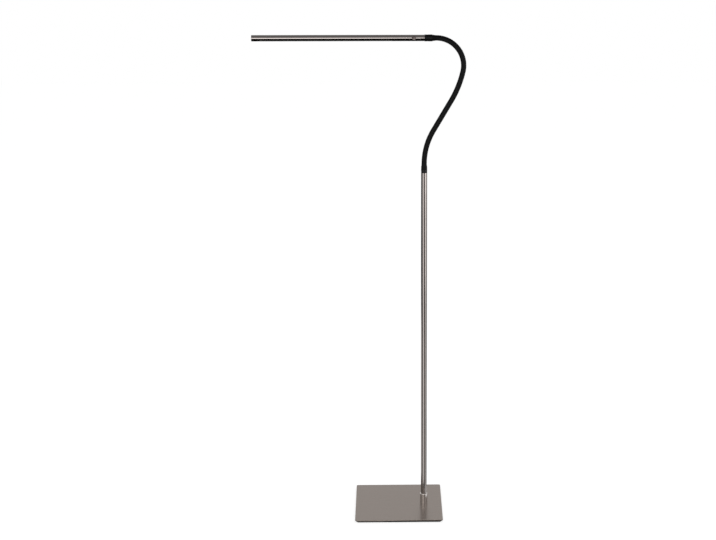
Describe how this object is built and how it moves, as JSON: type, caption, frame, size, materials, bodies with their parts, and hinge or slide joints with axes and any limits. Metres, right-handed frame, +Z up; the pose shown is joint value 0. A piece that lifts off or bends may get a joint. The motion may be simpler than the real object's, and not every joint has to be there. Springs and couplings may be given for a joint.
{
  "type": "gooseneck reading floor lamp",
  "caption": "Floor lamp with a square base, a slim upright pole, a bendable black gooseneck and a long slim tubular light bar held level.",
  "frame": {"origin": "centre of the square base's underside, on the floor", "axes": "+Z up along the pole; the head points to -X from the neck; the front, with the switch button, faces -Y"},
  "size_m": [0.5541, 0.24, 1.3125],
  "materials": {
    "brushed_nickel": "satin brushed nickel plate",
    "black_nickel": "black nickel plate",
    "button_metal": "satin metal, a little darker than the head",
    "plain_steel": "turned and zinc-plated steel",
    "neck_rubber": "satin black rubber sleeve",
    "pad_rubber": "matt black rubber",
    "black_plastic": "fine satin black",
    "aluminium": "as extruded",
    "white_board": "white solder mask",
    "green_board": "green solder mask",
    "led_face": "phosphor face",
    "milky_lens": "milky satin",
    "lead_insulation": "matt",
    "switch_housing": "matt"
  },
  "bodies": {
    "stand": {"foot_pad": "pad_rubber", "base_plate": "brushed_nickel", "cable_grommet": "pad_rubber", "base_washer": "plain_steel", "base_nut": "plain_steel", "threaded_nipple": "plain_steel", "pole_foot_insert": "plain_steel", "pole_tube": "brushed_nickel", "pole_collar": "brushed_nickel", "collar_screw": "plain_steel", "pole_top_plug": "plain_steel", "lower_trim_ring": "black_plastic", "lower_bright_ring": "black_nickel", "lower_ferrule": "plain_steel", "neck_core_00": "plain_steel", "neck_sleeve_00": "neck_rubber"},
    "neck_link_01": {"neck_core_01": "plain_steel", "neck_sleeve_01": "neck_rubber"},
    "neck_link_02": {"neck_core_02": "plain_steel", "neck_sleeve_02": "neck_rubber"},
    "neck_link_03": {"neck_core_03": "plain_steel", "neck_sleeve_03": "neck_rubber"},
    "neck_link_04": {"neck_core_04": "plain_steel", "neck_sleeve_04": "neck_rubber"},
    "neck_link_05": {"neck_core_05": "plain_steel", "neck_sleeve_05": "neck_rubber"},
    "neck_link_06": {"neck_core_06": "plain_steel", "neck_sleeve_06": "neck_rubber"},
    "neck_link_07": {"neck_core_07": "plain_steel", "neck_sleeve_07": "neck_rubber"},
    "neck_link_08": {"neck_core_08": "plain_steel", "neck_sleeve_08": "neck_rubber"},
    "neck_link_09": {"neck_core_09": "plain_steel", "neck_sleeve_09": "neck_rubber"},
    "neck_link_10": {"neck_core_10": "plain_steel", "neck_sleeve_10": "neck_rubber"},
    "neck_link_11": {"neck_core_11": "plain_steel", "neck_sleeve_11": "neck_rubber"},
    "head": {"neck_core_12": "plain_steel", "neck_sleeve_12": "neck_rubber", "upper_ferrule": "plain_steel", "head_cuff": "black_plastic", "head_plug": "plain_steel", "plug_screws": "plain_steel", "head_tube": "brushed_nickel", "end_cap": "brushed_nickel", "heat_sink": "aluminium", "led_board": "white_board", "leds": "led_face", "light_diffuser": "milky_lens", "switch_bezel": "button_metal", "switch_body": "switch_housing", "driver_board": "green_board", "board_leads": "lead_insulation"},
    "switch_button": {"switch_button": "button_metal"}
  },
  "joints": [
    {"name": "neck_lower_bend", "type": "hinge", "parent": "stand", "child": "neck_link_01", "pos_m": [0.07077, 0, 0.99038], "axis": [0, -1, 0], "range_deg": [-15, 20], "deforming": ["neck_sleeve_00", "neck_sleeve_01"]},
    {"name": "neck_lower_sway", "type": "hinge", "parent": "neck_link_01", "child": "neck_link_02", "pos_m": [0.07691, 0, 1.02255], "axis": [0.9603, 0, -0.279], "range_deg": [-24, 24], "deforming": ["neck_sleeve_02"]},
    {"name": "neck_lower_bend_2", "type": "hinge", "parent": "neck_link_02", "child": "neck_link_03", "pos_m": [0.08897, 0, 1.053], "axis": [0, -1, 0], "range_deg": [-15, 20], "deforming": ["neck_sleeve_03"]},
    {"name": "neck_lower_bend_3", "type": "hinge", "parent": "neck_link_03", "child": "neck_link_04", "pos_m": [0.10534, 0, 1.08143], "axis": [0, -1, 0], "range_deg": [-15, 20], "deforming": ["neck_sleeve_04"]},
    {"name": "neck_lower_sway_2", "type": "hinge", "parent": "neck_link_04", "child": "neck_link_05", "pos_m": [0.12198, 0, 1.10969], "axis": [0.8616, 0, -0.5075], "range_deg": [-24, 24], "deforming": ["neck_sleeve_05"]},
    {"name": "neck_lower_bend_4", "type": "hinge", "parent": "neck_link_05", "child": "neck_link_06", "pos_m": [0.13863, 0, 1.13795], "axis": [0, -1, 0], "range_deg": [-15, 20], "deforming": ["neck_sleeve_06"]},
    {"name": "neck_upper_bend", "type": "hinge", "parent": "neck_link_06", "child": "neck_link_07", "pos_m": [0.15376, 0, 1.16704], "axis": [0, -1, 0], "range_deg": [-30, 4], "deforming": ["neck_sleeve_07"]},
    {"name": "neck_upper_sway", "type": "hinge", "parent": "neck_link_07", "child": "neck_link_08", "pos_m": [0.16525, 0, 1.19774], "axis": [0.9561, 0, -0.2932], "range_deg": [-24, 24], "deforming": ["neck_sleeve_08"]},
    {"name": "neck_upper_bend_2", "type": "hinge", "parent": "neck_link_08", "child": "neck_link_09", "pos_m": [0.17198, 0, 1.22975], "axis": [0, -1, 0], "range_deg": [-30, 4], "deforming": ["neck_sleeve_09"]},
    {"name": "neck_upper_bend_3", "type": "hinge", "parent": "neck_link_09", "child": "neck_link_10", "pos_m": [0.1657, 0, 1.26165], "axis": [0, -1, 0], "range_deg": [-30, 4], "deforming": ["neck_sleeve_10"]},
    {"name": "neck_upper_sway_2", "type": "hinge", "parent": "neck_link_10", "child": "neck_link_11", "pos_m": [0.14594, 0, 1.28747], "axis": [0.6351, 0, 0.7724], "range_deg": [-24, 24], "deforming": ["neck_sleeve_11"]},
    {"name": "neck_upper_bend_4", "type": "hinge", "parent": "neck_link_11", "child": "head", "pos_m": [0.11679, 0, 1.30187], "axis": [0, -1, 0], "range_deg": [-30, 4], "deforming": ["neck_sleeve_12"]},
    {"name": "switch_press", "type": "slide", "parent": "head", "child": "switch_button", "axis": [0, 1, 0], "range_m": [0, 0.0008], "stiffness_N_per_m": 800}
  ],
  "couplings": [
    {"joint": "neck_lower_bend_2", "follows": "neck_lower_bend", "ratio": 1},
    {"joint": "neck_lower_bend_3", "follows": "neck_lower_bend", "ratio": 1},
    {"joint": "neck_lower_sway_2", "follows": "neck_lower_sway", "ratio": 1},
    {"joint": "neck_lower_bend_4", "follows": "neck_lower_bend", "ratio": 1},
    {"joint": "neck_upper_bend_2", "follows": "neck_upper_bend", "ratio": 1},
    {"joint": "neck_upper_bend_3", "follows": "neck_upper_bend", "ratio": 1},
    {"joint": "neck_upper_sway_2", "follows": "neck_upper_sway", "ratio": 1},
    {"joint": "neck_upper_bend_4", "follows": "neck_upper_bend", "ratio": 1}
  ]
}
